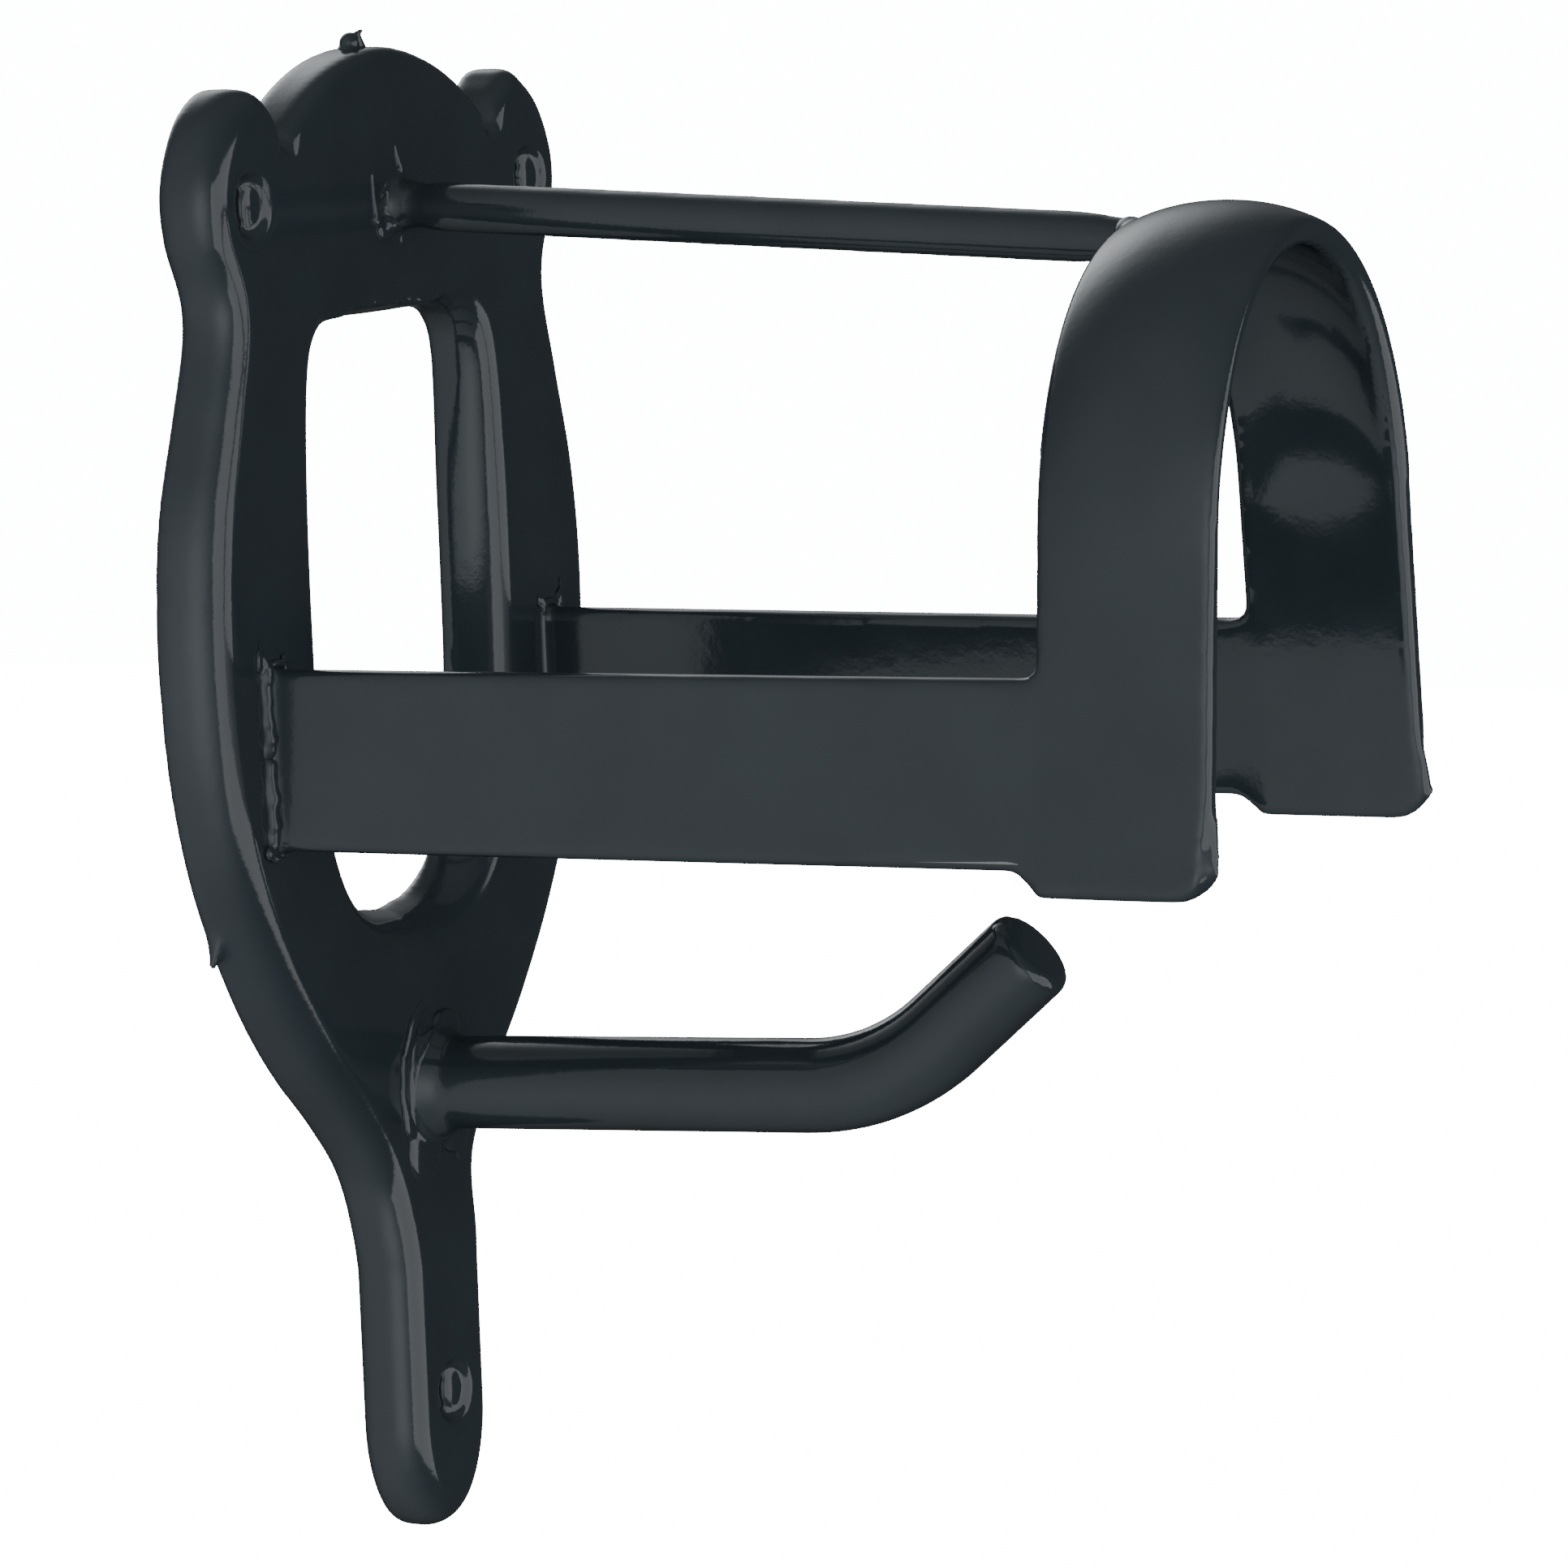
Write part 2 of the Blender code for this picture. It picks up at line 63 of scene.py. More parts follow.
MM = 0.001

# ---- sizes, from the frame where it has them ---------------------------------------------
PLATE_LOW, PLATE_HIGH = (Vector(corner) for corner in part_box("plate_coat"))
HOOP_LOW, HOOP_HIGH = (Vector(corner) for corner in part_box("hoop_coat"))
FRONT = -10.0 * MM                       # the plate's broad face
DOME_TOP = PLATE_HIGH.z
TAIL_TIP = PLATE_LOW.z
LEG_BOTTOM = HOOP_LOW.z + 0.4 * MM
ARCH_TOP = HOOP_HIGH.z
HOOP_FRONT = HOOP_LOW.y

BEND = 5.5 * MM                          # outer radius where the plate turns back
CREST_BEND = 2.8 * MM                    # the same over the dome and the ears' inner sides
COATED = 4.0 * MM                        # steel and vinyl together
DEPTH = 10.0 * MM                        # the plate's broad face to the wall
FLARE = 2.6 * MM                         # how far the flange opens outwards by its rim
FLARE_RUN = 34.0 * MM                    # length over which it comes and goes
FLARE_CURVE = 1.5                        # the higher, the more it keeps to the rim
TAIL_TOP = -138.0 * MM                   # where the flare has ended
TAIL_LEAN = 1.2 * MM                     # how far the tail stands off the wall
LEAN_TOP = -132.0 * MM                   # where it starts to lean, and over what length
LEAN_RUN = 16.0 * MM
DOME_RADIUS = 48.4 * MM
DOME_DROP = 0.3 * MM                     # the dome's right shoulder hangs by this much
NOTCH = (32.1 * MM, 24.4 * MM)           # between the dome and an ear
TAIL_HALF = 13.0 * MM
TAIL_ROUND = 1.45                        # length of the tail's round end, in half widths
TAIL_SHIFT = 0.2 * MM                    # the press left the tail a little to the right
SCREW_BORE = 3.7 * MM
SCREW_MOUTH = 5.2 * MM                   # the hole's edge is drawn in like a funnel
SCREWS = ((43.5 * MM, 16.3 * MM), (-43.5 * MM, 16.3 * MM), (0.0, -168.7 * MM))
SLOT_HALF = 27.5 * MM
SLOT_SHIFT = -0.2 * MM                   # the slot was cut a little to the left
SLOT_TOP = -2.0 * MM
SLOT_BOTTOM = -95.5 * MM

REAR_ROOM = 0.9 * MM                     # the dip is thicker round the strap's back edge
STRAP = 4.2 * MM                         # coated thickness of the hoop
EDGE_ROUND = 1.3 * MM                    # radius of the dip round a sheet's edge
HOOP_WIDTH = 25.8 * MM
HOOP_BACK = HOOP_FRONT + HOOP_WIDTH
ARCH_HALF = 40.8 * MM
ARCH_BASE = -31.7 * MM
ARCH_CROWN = 3.2 * MM                    # how far the strap's edges curl in over the arch
CROWN_CURL = 2.2                         # the higher, the more of it is kept to the edges
CROWN_LEFT = 0.1                         # the part of it that is left at the feet
CROWN_FULL = -8.0 * MM                   # height above which it is full
LEG_SPLAY = 4.6 * MM
LEG_CORNER = 5.0 * MM
FOOT_ZONE = 13.0 * MM                    # height over which the foot's shape fades out
STEP_START = 4.6 * MM                    # the foot's step starts behind the leg, in the arm
STEP_LENGTH = 5.6 * MM
FAR_LIFT = 0.5 * MM                      # the right leg was cut that much shorter
ARM_TOP = -51.4 * MM
ARM_BOTTOM = -78.4 * MM
ARM_HALF = 46.0 * MM                     # an arm's outer face, where it meets the plate
INNER_CORNER = 3.0 * MM                  # radius between a leg and an arm's top edge

BAR_START = Vector((0, FRONT, 14.3 * MM))
BAR_END = Vector((0, HOOP_BACK + 1.0 * MM, 7.6 * MM))
BAR_RADIUS = 3.75 * MM
BAR_PINCH = 0.8                          # part of the radius that is left at its ends
BAR_TAPER = 9.0 * MM
HOOK_ROOT = Vector((0, FRONT, -120.2 * MM))
HOOK_RADIUS = 7.2 * MM
HOOK_RISE = math.radians(1.8)
HOOK_RUN = 64.0 * MM
HOOK_BEND = 36.0 * MM
HOOK_TURN = math.radians(39.4)
HOOK_TIP = 19.8 * MM                     # straight part past the bend
HOOK_LIP = 1.3 * MM                      # round of its end

VOXEL = 0.7 * MM                         # fineness of the one skin, and rounds of smoothing
SKIN_ROUNDS = 7
PLATE_CUT = FRONT - 2.6 * MM             # where the plate's skin is parted from the arms
BAR_CUT = HOOP_BACK + 3.0 * MM           # and the bar's from the hoop's
NEAR_BAR = (9.0 * MM, -6.0 * MM)         # half width and lowest height of what is round it
NEAR_HOOK = (15.0 * MM, -90.0 * MM)      # half width and greatest height of the hook's part


# ---- handling objects ----------------------------------------------------------------------
def only(thing):
    """Makes one object the only selected one, and the active one."""
    bpy.ops.object.select_all(action="DESELECT")
    thing.select_set(True)
    bpy.context.view_layer.objects.active = thing
    return thing


def added(name):
    """Names the primitive that was just added and puts its place into its mesh."""
    thing = bpy.context.active_object
    thing.name = name
    thing.data.name = name
    only(thing)
    bpy.ops.object.transform_apply(location=True, rotation=True, scale=True)
    return thing


def edit(thing):
    only(thing)
    bpy.ops.object.mode_set(mode="EDIT")


def leave():
    bpy.ops.object.mode_set(mode="OBJECT")


def pick(thing, kind, test):
    """In edit mode, selects only the verts, edges or faces that the test accepts."""
    bpy.ops.mesh.select_mode(type=kind)
    bpy.ops.mesh.select_all(action="DESELECT")
    bm = bmesh.from_edit_mesh(thing.data)
    found = 0
    for item in {"VERT": bm.verts, "EDGE": bm.edges, "FACE": bm.faces}[kind]:
        if test(item):
            item.select_set(True)
            found += 1
    bm.select_flush_mode()
    bmesh.update_edit_mesh(thing.data)
    return found


def finish_modifier(thing, kind, **settings):
    only(thing)
    modifier = thing.modifiers.new(kind.lower(), kind)
    for key, value in settings.items():
        setattr(modifier, key, value)
    bpy.ops.object.modifier_apply(modifier=modifier.name)


def join(name, things):
    only(things[0])
    for thing in things[1:]:
        thing.select_set(True)
    bpy.ops.object.join()
    things[0].name = name
    return things[0]


def copy_of(thing, name):
    only(thing)
    bpy.ops.object.duplicate()
    made = bpy.context.active_object
    made.name = name
    made.data.name = name
    return made


def outwards(thing):
    edit(thing)
    bpy.ops.mesh.select_all(action="SELECT")
    bpy.ops.mesh.remove_doubles(threshold=0.01 * MM)
    bpy.ops.mesh.normals_make_consistent(inside=False)
    leave()


def smooth_step(share):
    share = min(1.0, max(0.0, share))
    return share * share * (3 - 2 * share)


# ---- outlines ------------------------------------------------------------------------------
def through(points, steps):
    """Points on a smooth line through the given ones, which it keeps."""
    ends = [points[0] * 2 - points[1]] + points + [points[-1] * 2 - points[-2]]
    line = []
    for before, start, end, after in zip(ends, ends[1:], ends[2:], ends[3:]):
        for step in range(steps):
            t = step / steps
            line.append(0.5 * (2 * start + (end - before) * t
                               + (2 * before - 5 * start + 4 * end - after) * t ** 2
                               + (3 * start - before - 3 * end + after) * t ** 3))
    return line + [points[-1]]


def both_halves(right):
    left = [Vector((-p.x, p.y)) for p in reversed(right[1:-1])]
    return right + left


def stations(outline, side):
    """Each point of a clockwise outline with its normal, outward for side 1."""
    count = len(outline)
    found = []
    for i in range(count):
        along = outline[(i + 1) % count] - outline[i - 1]
        found.append((outline[i], Vector((-along.y, along.x)).normalized() * side))
    return found


def plate_outline():
    notch = Vector(NOTCH)
    steps = 18
    reach = math.asin(notch.x / DOME_RADIUS)
    dome = [Vector((DOME_RADIUS * math.sin(reach * i / steps),
                    DOME_TOP - DOME_RADIUS * (1 - math.cos(reach * i / steps))))
            for i in range(steps)]
    side_mm = [(32.1, 24.4), (35.4, 30.2), (42.1, 33.5), (49.9, 29.4), (54.8, 20.5), (54.5, 11.5),
               (50.2, 0.6), (53.4, -13.5), (57.2, -27.5), (59.0, -41.0), (59.0, -54.0),
               (57.2, -68.5), (52.3, -84.0), (43.5, -99.5), (33.0, -113.0), (22.5, -124.0),
               (15.0, -134.5), (13.0, -148.0)]
    side = through([Vector(p) * MM for p in side_mm], 7)
    length = TAIL_HALF * TAIL_ROUND
    turns = 14
    angles = [math.pi / 2 * i / turns for i in range(1, turns + 1)]
    tail = [Vector((TAIL_HALF * math.cos(angle), TAIL_TIP + length * (1 - math.sin(angle))))
            for angle in angles]
    outline = both_halves(dome + side + tail)
    for point in outline:
        if point.y > notch.y and 0 < point.x < notch.x + 6 * MM:
            point.y -= DOME_DROP * smooth_step(point.x / (14 * MM))
    return outline


def slot_outline():
    shares = [(0.0, 0.0), (0.6, 0.002), (0.84, 0.03), (0.94, 0.1), (0.99, 0.27), (1.0, 0.46),
              (0.98, 0.66), (0.9, 0.81), (0.71, 0.92), (0.4, 0.98), (0.0, 1.0)]
    half = [Vector((SLOT_HALF * across, SLOT_TOP + (SLOT_BOTTOM - SLOT_TOP) * down))
            for across, down in shares]
    return [p + Vector((SLOT_SHIFT, 0)) for p in both_halves(through(half, 8))]


# ---- the pressed plate ---------------------------------------------------------------------
def flare_at(z):
    return FLARE * smooth_step(-z / FLARE_RUN) * smooth_step((z - TAIL_TOP) / FLARE_RUN)


def lean_at(z):
    return TAIL_LEAN * smooth_step((LEAN_TOP - z) / LEAN_RUN)


def bend_at(point):
    """The press bends the sheet tightly over the dome and softly everywhere else."""
    fade = 8 * MM
    high = smooth_step((point.y - 20 * MM) / fade)
    over = high * smooth_step((46 * MM - abs(point.x)) / fade)
    return BEND + (CREST_BEND - BEND) * over


FACE_STEPS, RIM_STEPS, BACK_STEPS = 7, 8, 3


def rim_point(step, bend):
    """Inset and Y of one step of the turned edge: broad face, round the rim, to the back."""
    quarter = math.pi / 2
    if step <= FACE_STEPS:
        angle = quarter * step / FACE_STEPS
        return bend * (1 - math.sin(angle)), FRONT + bend * (1 - math.cos(angle))
    step -= FACE_STEPS + 1
    half = COATED / 2
    if step <= RIM_STEPS:
        angle = math.pi * step / RIM_STEPS
        return half - half * math.cos(angle), -half + half * math.sin(angle)
    step -= RIM_STEPS + 1
    inner = max(0.4 * MM, bend - COATED)
    angle = quarter * step / BACK_STEPS
    return (COATED + inner - inner * math.cos(angle),
            FRONT + COATED + inner - inner * math.sin(angle))


def turned_rim(name, places, bends):
    """One circle put on an outline and extruded round the section of the turned edge."""
    bpy.ops.mesh.primitive_circle_add(vertices=len(places), radius=DOME_RADIUS)
    rim = added(name)
    mark = rim.data.attributes.new("place", "INT", "POINT")
    mark.data.foreach_set("value", range(len(places)))
    edit(rim)
    bpy.ops.mesh.select_mode(type="EDGE")
    bpy.ops.mesh.select_all(action="SELECT")
    for step in range(FACE_STEPS + RIM_STEPS + BACK_STEPS + 3):
        if step:
            bpy.ops.mesh.extrude_edges_move()
        bm = bmesh.from_edit_mesh(rim.data)
        layer = bm.verts.layers.int["place"]
        for vert in bm.verts:
            if vert.select:
                point, normal = places[vert[layer]]
                inset, y = rim_point(step, bends[vert[layer]])
                share = max(0.0, (y - FRONT) / DEPTH) ** FLARE_CURVE
                spot = point - normal * (inset - share * flare_at(point.y))
                vert.co = (spot.x, y, spot.y)
        bmesh.update_edit_mesh(rim.data)
    leave()
    return rim


def plate_form():
    """The dished plate as one closed solid, with its slot and screw holes."""
    border, slot = stations(plate_outline(), 1), stations(slot_outline(), -1)
    rims = [turned_rim("plate_rim", border, [bend_at(point) for point, _ in border]),
            turned_rim("slot_rim", slot, [BEND] * len(slot))]
    plate = join("plate_form", rims)
    edit(plate)
    for level in (FRONT, FRONT + COATED):
        pick(plate, "EDGE", lambda edge: edge.is_boundary
             and all(abs(vert.co.y - level) < 0.01 * MM for vert in edge.verts))
        bpy.ops.mesh.fill(use_beauty=True)
    leave()
    outwards(plate)
    for x, z in SCREWS:
        for drill in screw_drills(x, z):
            finish_modifier(plate, "BOOLEAN", operation="DIFFERENCE", solver="EXACT", object=drill)
            bpy.data.objects.remove(drill, do_unlink=True)
    return plate


def screw_drills(x, z):
    """A straight bore, and the cone that rounds its mouth."""
    turn = (math.pi / 2, 0, 0)
    bpy.ops.mesh.primitive_cylinder_add(vertices=40, radius=SCREW_BORE, depth=20 * MM,
                                        location=(x, FRONT, z), rotation=turn)
    bore = added("bore")
    above = 1 * MM
    deep = 2.4 * MM
    slope = (SCREW_MOUTH - SCREW_BORE) / deep
    bpy.ops.mesh.primitive_cone_add(
        vertices=40, radius1=SCREW_MOUTH + slope * above, radius2=SCREW_BORE - 0.1 * MM,
        depth=deep + above, location=(x, FRONT + (deep - above) / 2, z),
        rotation=(-math.pi / 2, 0, 0))
    return bore, added("mouth")


def screw_lips():
    """The thicker ring of vinyl that the dip leaves round each hole."""
    lips = []
    for x, z in SCREWS:
        bpy.ops.mesh.primitive_torus_add(
            major_radius=SCREW_MOUTH + 0.3 * MM, minor_radius=0.8 * MM, major_segments=48,
            minor_segments=12, location=(x, FRONT + 0.85 * MM, z), rotation=(math.pi / 2, 0, 0))
        lips.append(added("screw_lip"))
    return lips


def screw_films():
    """Vinyl that the dip left hanging inside the holes, torn on one side."""
    films = []
    for x, z in SCREWS:
        films.append(lump((x / MM + 2.2, FRONT / MM + 2.5, z / MM), (3.2, 1.5, 4.6)))
    return films


# ---- the hoop and its arms -----------------------------------------------------------------
def leg_half(z):
    share = max(0.0, (ARCH_BASE - z) / (ARCH_BASE - LEG_BOTTOM))
    return ARCH_HALF + LEG_SPLAY * share ** 1.5


def strap_line(steps):
    """The strap's outer line from the left foot over the arch to the right foot."""
    rise = ARCH_TOP - ARCH_BASE
    legs = 26
    right = []
    for i in range(legs):
        z = LEG_BOTTOM + (ARCH_BASE - LEG_BOTTOM) * (i / legs) ** 1.7
        right.append((Vector((leg_half(z), z)), Vector((1, 0))))
    for i in range(steps + 1):
        angle = math.pi / 2 * i / steps
        point = Vector((ARCH_HALF * math.cos(angle), ARCH_BASE + rise * math.sin(angle)))
        normal = Vector((math.cos(angle) / ARCH_HALF, math.sin(angle) / rise)).normalized()
        right.append((point, normal))
    left = [(Vector((-p.x, p.y)), Vector((-n.x, n.y))) for p, n in right[:-1]]
    return left + right[::-1]


def foot_rise(reach):
    """How far the bottom edge lies above the leg's foot, at a distance before its back edge."""
    into_corner = reach - (HOOP_WIDTH - LEG_CORNER)
    if into_corner > 0:
        return LEG_CORNER - math.sqrt(max(0.0, LEG_CORNER ** 2 - into_corner ** 2))
    return (ARM_BOTTOM - LEG_BOTTOM) * smooth_step(1 - (reach + STEP_START) / STEP_LENGTH)


def crowded(share):
    """Spreads even steps so that they lie closer together at both ends."""
    return share - 0.85 * math.sin(2 * math.pi * share) / (2 * math.pi)


def fullness(distance):
    """The part of its full thickness that a sheet has, so far in from its rounded edge."""
    short = min(EDGE_ROUND, max(0.0, EDGE_ROUND - distance))
    half = STRAP / 2
    return (half - EDGE_ROUND + math.sqrt(EDGE_ROUND ** 2 - short ** 2)) / half


def thicken(sheet, distances):
    """Gives a sheet its thickness, less by its edges so that they come out round."""
    group = sheet.vertex_groups.new(name="fullness")
    for index, distance in enumerate(distances):
        group.add([index], fullness(distance), "REPLACE")
    finish_modifier(sheet, "SOLIDIFY", thickness=STRAP, offset=0.0, vertex_group=group.name)


def strap_form():
    """A flat grid laid along the strap's line, crowned over the arch, then thickened."""
    line = strap_line(44)
    across = 36
    bpy.ops.mesh.primitive_grid_add(x_subdivisions=across, y_subdivisions=len(line) - 1, size=1)
    strap = added("strap_form")
    distances = []
    for vert in strap.data.vertices:
        share = crowded(vert.co.x + 0.5)
        reach = HOOP_WIDTH * share
        index = round((vert.co.y + 0.5) * (len(line) - 1))
        point, normal = line[index]
        rise = smooth_step((point.y - ARM_TOP) / (CROWN_FULL - ARM_TOP))
        crown = ARCH_CROWN * (CROWN_LEFT + (1 - CROWN_LEFT) * rise)
        distances.append(min(reach, HOOP_WIDTH - reach, point.y - LEG_BOTTOM))
        off = abs(2 * share - 1) ** CROWN_CURL
        place = point - normal * (STRAP / 2 + crown * off)
        near_foot = 1 - (point.y - LEG_BOTTOM) / FOOT_ZONE
        if near_foot > 0:
            lifted = point.y + foot_rise(reach) * near_foot
            place.x += math.copysign(leg_half(lifted) - leg_half(point.y), point.x)
            place.y = lifted
        if place.x > 0:
            place.y += FAR_LIFT * smooth_step((ARM_BOTTOM + 3 * MM - place.y) / (4 * MM))
        vert.co = (place.x, HOOP_BACK + REAR_ROOM * (1 - share) - reach, place.y)
    thicken(strap, distances)
    return strap


def arm_form(side):
    """One flat arm from the hoop's leg to the plate, on the same slant as the leg."""
    bpy.ops.mesh.primitive_grid_add(x_subdivisions=60, y_subdivisions=26, size=1)
    arm = added("arm_form")
    start = HOOP_BACK - 2 * MM
    end = FRONT + COATED / 2
    distances = []
    for vert in arm.data.vertices:
        y = start + (end - start) * (vert.co.x + 0.5) ** 1.6
        low = LEG_BOTTOM + foot_rise(HOOP_BACK - y)
        if side > 0:
            low += FAR_LIFT * (ARM_BOTTOM - low) / (ARM_BOTTOM - LEG_BOTTOM)
        z = low + (ARM_TOP - low) * crowded(vert.co.y + 0.5)
        distances.append(min(z - low, ARM_TOP - z))
        share = max(0.0, (y - HOOP_BACK) / (FRONT - HOOP_BACK))
        leg = leg_half(z) - ARCH_CROWN * CROWN_LEFT * (1 - share)
        vert.co = (side * (leg + (ARM_HALF - leg) * share - STRAP / 2), y, z)
    thicken(arm, distances)
    return arm


def inner_corner(side):
    """The small round web where an arm's top edge runs into the leg's back edge."""
    radius, inside = INNER_CORNER, 1 * MM
    middle = side * (leg_half(ARM_TOP) - ARCH_CROWN * CROWN_LEFT - STRAP / 2)
    offset = (radius - inside) / 2
    bpy.ops.mesh.primitive_cube_add(
        size=1, location=(middle, HOOP_BACK + offset, ARM_TOP + offset),
        scale=(STRAP * 0.97, radius + inside, radius + inside))
    web = added("inner_corner")
    bpy.ops.mesh.primitive_cylinder_add(
        vertices=40, radius=radius, depth=3 * STRAP, rotation=(0, math.pi / 2, 0),
        location=(middle, HOOP_BACK + radius, ARM_TOP + radius))
    scoop = added("scoop")
    finish_modifier(web, "BOOLEAN", operation="DIFFERENCE", solver="EXACT", object=scoop)
    bpy.data.objects.remove(scoop, do_unlink=True)
    return web


# ---- rods ----------------------------------------------------------------------------------
def round_rod(name, stops):
    """A circle extruded from stop to stop: each is a centre, a direction and a radius."""
    sides = 40
    first, heading, radius = stops[0]
    turn = Vector((0, 0, 1)).rotation_difference(heading)
    bpy.ops.mesh.primitive_circle_add(vertices=sides, radius=radius, fill_type="NGON",
                                      location=first, rotation=turn.to_euler())
    rod = added(name)
    edit(rod)
    bpy.ops.mesh.select_mode(type="FACE")
    bpy.ops.mesh.select_all(action="SELECT")
    for (old, before, wide), (centre, after, radius) in zip(stops, stops[1:]):
        bpy.ops.mesh.extrude_region_move(TRANSFORM_OT_translate={"value": centre - old})
        turn = before.rotation_difference(after).to_matrix()
        bm = bmesh.from_edit_mesh(rod.data)
        for vert in bm.verts:
            if vert.select:
                vert.co = centre + turn @ (vert.co - centre) * (radius / wide)
        bmesh.update_edit_mesh(rod.data)
    leave()
    outwards(rod)
    return rod


def bar_form():
    run = (BAR_END - BAR_START).normalized()
    inside = 2 * MM
    length = (BAR_END - BAR_START).length
    stops = [(BAR_START - run * inside, run, BAR_RADIUS * BAR_PINCH)]
    count = 40
    for i in range(count + 1):
        along = length * i / count
        near_end = min(along, length - along)
        pinch = BAR_PINCH + (1 - BAR_PINCH) * smooth_step(near_end / BAR_TAPER)
        stops.append((BAR_START + run * along, run, BAR_RADIUS * pinch))
    stops.append((BAR_END + run * inside, run, BAR_RADIUS * BAR_PINCH))
    return round_rod("bar_form", stops)


def hook_form():
    run = Vector((0, -math.cos(HOOK_RISE), math.sin(HOOK_RISE)))
    up = Vector((0, math.sin(HOOK_RISE), math.cos(HOOK_RISE)))
    stops = [(HOOK_ROOT - run * 2 * MM, run, HOOK_RADIUS)]
    stops += [(HOOK_ROOT + run * HOOK_RUN * i / 8, run, HOOK_RADIUS) for i in range(8)]
    centre = HOOK_ROOT + run * HOOK_RUN + up * HOOK_BEND
    turns = 16
    for i in range(turns + 1):
        angle = HOOK_RISE + HOOK_TURN * i / turns
        heading = Vector((0, -math.cos(angle), math.sin(angle)))
        down = Vector((0, -math.sin(angle), -math.cos(angle)))
        stops.append((centre + down * HOOK_BEND, heading, HOOK_RADIUS))
    last, heading, radius = stops[-1]
    for back, share in ((HOOK_LIP, 1.0), (HOOK_LIP * 0.4, 0.94), (0.0, 0.8)):
        stops.append((last + heading * (HOOK_TIP - back), heading, radius * share))
    return round_rod("hook_form", stops)


# ---- lumps that stay in the dip ------------------------------------------------------------
def lump(place, size, turn=(0.0, 0.0, 0.0)):
    """A small rounded swelling: half sizes in millimetres at a place in millimetres."""
    bpy.ops.mesh.primitive_uv_sphere_add(segments=20, ring_count=12, radius=1,
                                         location=Vector(place) * MM, scale=Vector(size) * MM,
                                         rotation=[math.radians(angle) for angle in turn])
    return added("lump")


def root_flare(name, centre, radius, reach, grow):
    """A short cone that thickens the skin where a rod stands on the plate."""
    bpy.ops.mesh.primitive_cone_add(
        vertices=40, radius1=radius + grow, radius2=radius * 0.97, depth=reach + 1 * MM,
        location=centre + Vector((0, (1 * MM - reach) / 2, 0)), rotation=(math.pi / 2, 0, 0))
    return added(name)


def chain(points, sizes):
    """Overlapping lumps from point to point, which melt into one ridge when remeshed."""
    made = []
    for (start, end), (first, last) in zip(zip(points, points[1:]), zip(sizes, sizes[1:])):
        start, end, first, last = Vector(start), Vector(end), Vector(first), Vector(last)
        count = max(1, round((end - start).length / (0.6 * min(first))))
        for i in range(count):
            made.append(lump(start.lerp(end, i / count), first.lerp(last, i / count)))
    made.append(lump(points[-1], sizes[-1]))
    return made


def melted(name, lumps, voxel, rounds):
    piece = join(name, lumps)
    piece.data.name = name
    finish_modifier(piece, "REMESH", mode="VOXEL", voxel_size=voxel, adaptivity=0.0)
    finish_modifier(piece, "SMOOTH", factor=0.5, iterations=rounds)
    return piece


def plate_lumps():
    """Runs and drops of the dip on the plate itself."""
    made = chain([(-48.9, -2.2, -89.8), (-50.2, -1.8, -92.6), (-51.2, -1.6, -94.6)],
                 [(2.4, 1.6, 2.8), (1.4, 1.2, 1.8), (0.7, 0.8, 0.9)])
    made.append(lump((-54.3, -3.2, 15.6), (1.0, 2.6, 4.0)))
    for x, wide, low in ((-20.0, 7.5, -1.0), (-5.0, 9.5, -0.2), (9.0, 8.0, -0.6)):
        made.append(lump((x, -7.4, low), (wide, 2.6, 0.9)))
    made.append(lump((-23.4, -7.2, -2.6), (1.3, 1.1, 1.3)))
    for x in (-31.0, 31.0):
        made.append(lump((x, -3.2, 21.1), (2.6, 3.0, 2.4)))
    return made


def whole_skin():
    """All coated forms in one, remeshed so that the vinyl runs on from piece to piece."""
    forms = [plate_form()] + screw_lips() + screw_films() + plate_lumps()
    forms += [strap_form(), arm_form(-1), arm_form(1), inner_corner(-1), inner_corner(1)]
    forms += [bar_form(), hook_form()]
    forms += [root_flare("hook_flare", HOOK_ROOT, HOOK_RADIUS, 4.5 * MM, 3.0 * MM),
              root_flare("bar_flare", BAR_START, BAR_RADIUS * BAR_PINCH, 6 * MM, 1.4 * MM)]
    skin = join("whole_skin", forms)
    finish_modifier(skin, "REMESH", mode="VOXEL", voxel_size=VOXEL, adaptivity=0.0)
    finish_modifier(skin, "SMOOTH", factor=0.5, iterations=SKIN_ROUNDS)
    lean(skin)
    return skin


def lean(skin):
    """Bends the tail forward, off the wall."""
    for vert in skin.data.vertices:
        if vert.co.z < LEAN_TOP and vert.co.y > FRONT - 3 * MM:
            vert.co.y -= lean_at(vert.co.z)
            vert.co.x += TAIL_SHIFT * lean_at(vert.co.z) / TAIL_LEAN


def cut_off(y, behind):
    """In edit mode, cuts the selected faces along a plane and closes the cut."""
    bpy.ops.mesh.bisect(plane_co=(0, y, 0), plane_no=(0, 1, 0), use_fill=True,
                        clear_inner=behind, clear_outer=not behind, threshold=0.0001 * MM)


